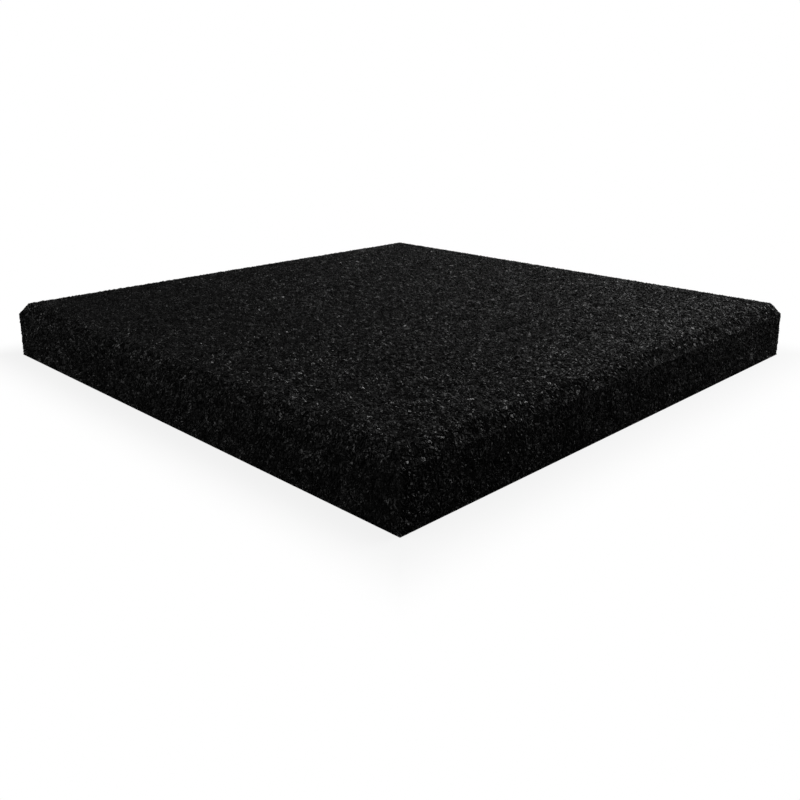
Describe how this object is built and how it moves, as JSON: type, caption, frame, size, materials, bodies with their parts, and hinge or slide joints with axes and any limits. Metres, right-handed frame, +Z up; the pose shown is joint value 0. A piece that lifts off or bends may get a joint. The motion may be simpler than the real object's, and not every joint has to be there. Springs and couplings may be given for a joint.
{
  "type": "rubber gym floor tile",
  "caption": "Square black tile of bonded rubber crumb with a chamfered top edge all round, laid loose or glued edge to edge as impact-absorbing gym flooring.",
  "frame": {"origin": "centre of the flat underside, on the floor", "axes": "+Z up, square to the underside and the top; the four upright sides face +X, -X, +Y and -Y"},
  "size_m": [0.5, 0.5, 0.05],
  "materials": {
    "rubber_crumb": "matt black bonded crumb, granules of about 1 to 3 mm with dark pits between them and small glints of binder"
  },
  "bodies": {
    "root": {"tile": "rubber_crumb"}
  },
  "joints": []
}
